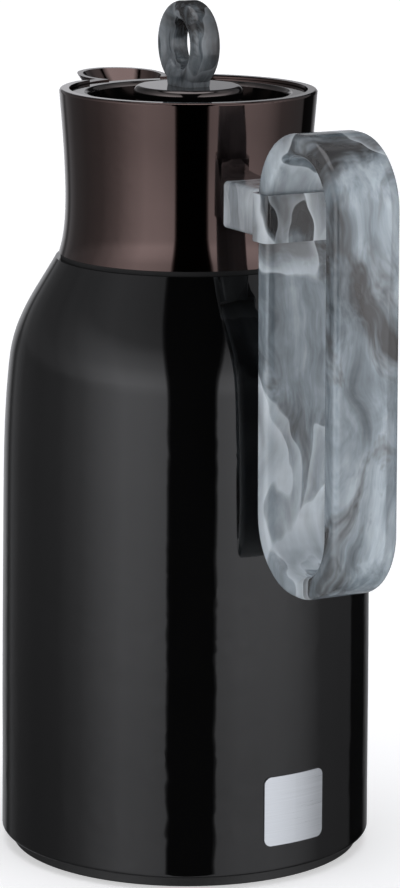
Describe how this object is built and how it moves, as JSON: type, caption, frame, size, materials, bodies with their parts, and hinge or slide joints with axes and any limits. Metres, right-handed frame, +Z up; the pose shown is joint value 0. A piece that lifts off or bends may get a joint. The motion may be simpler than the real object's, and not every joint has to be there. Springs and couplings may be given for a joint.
{
  "type": "vacuum jug",
  "caption": "Tall insulated jug with a glass liner, a necked metal-look collar with pouring lip, a long loop handle and a lift-out lid with a turning ring knob.",
  "frame": {"origin": "centre of the base on the jug's axis, at the surface it stands on", "axes": "+Z up along the jug's axis, +X towards the handle, -X towards the pouring lip"},
  "size_m": [0.1891, 0.131, 0.2993],
  "materials": {
    "gloss_black": "high gloss black lacquer",
    "collar_metal": "dark brown metallic, polished",
    "marbled_resin": "translucent grey resin with white and smoky marbling, polished",
    "lid_black": "gloss black",
    "matte_black": "matte black moulding",
    "rubber_black": "matte black rubber",
    "plate_silver": "satin silver plate",
    "silvered_glass": "silvered vacuum glass",
    "silicone": "translucent white silicone",
    "inner_plastic": "black food-grade plastic",
    "steel": "stainless steel",
    "brass": "turned brass",
    "ceramic": "unglazed spacer pads"
  },
  "bodies": {
    "jug": {"outer_shell": "gloss_black", "label_plate": "plate_silver", "neck_collar": "collar_metal", "handle_loop": "marbled_resin", "handle_bracket": "marbled_resin", "base_cover": "matte_black", "base_foot_ring": "rubber_black", "neck_joint_ring": "rubber_black", "liner_cushion": "rubber_black", "shell_boss_ring": "matte_black", "base_screws": "steel", "bracket_screws": "steel", "bracket_plate": "steel", "bracket_bushings": "brass", "liner_support": "matte_black", "liner_outer_flask": "silvered_glass", "liner_inner_flask": "silvered_glass", "liner_spacers": "ceramic", "liner_neck_seal": "silicone", "pour_insert": "inner_plastic"},
    "lid": {"lid_cover": "lid_black", "lid_seal": "silicone", "stopper_body": "inner_plastic", "stopper_floor": "inner_plastic", "stopper_seal": "silicone", "spindle_seal": "silicone"},
    "knob": {"ring_knob": "marbled_resin", "lid_disc": "lid_black", "knob_screw": "steel", "valve_spindle": "steel", "valve_disc": "inner_plastic"}
  },
  "joints": [
    {"name": "lid_lift", "type": "slide", "parent": "jug", "child": "lid", "axis": [0, 0, 1], "range_m": [0, 0.062]},
    {"name": "knob_turn", "type": "hinge", "parent": "lid", "child": "knob", "pos_m": [0, 0, 0.26], "axis": [0, 0, 1], "range_deg": [0, 90]}
  ]
}
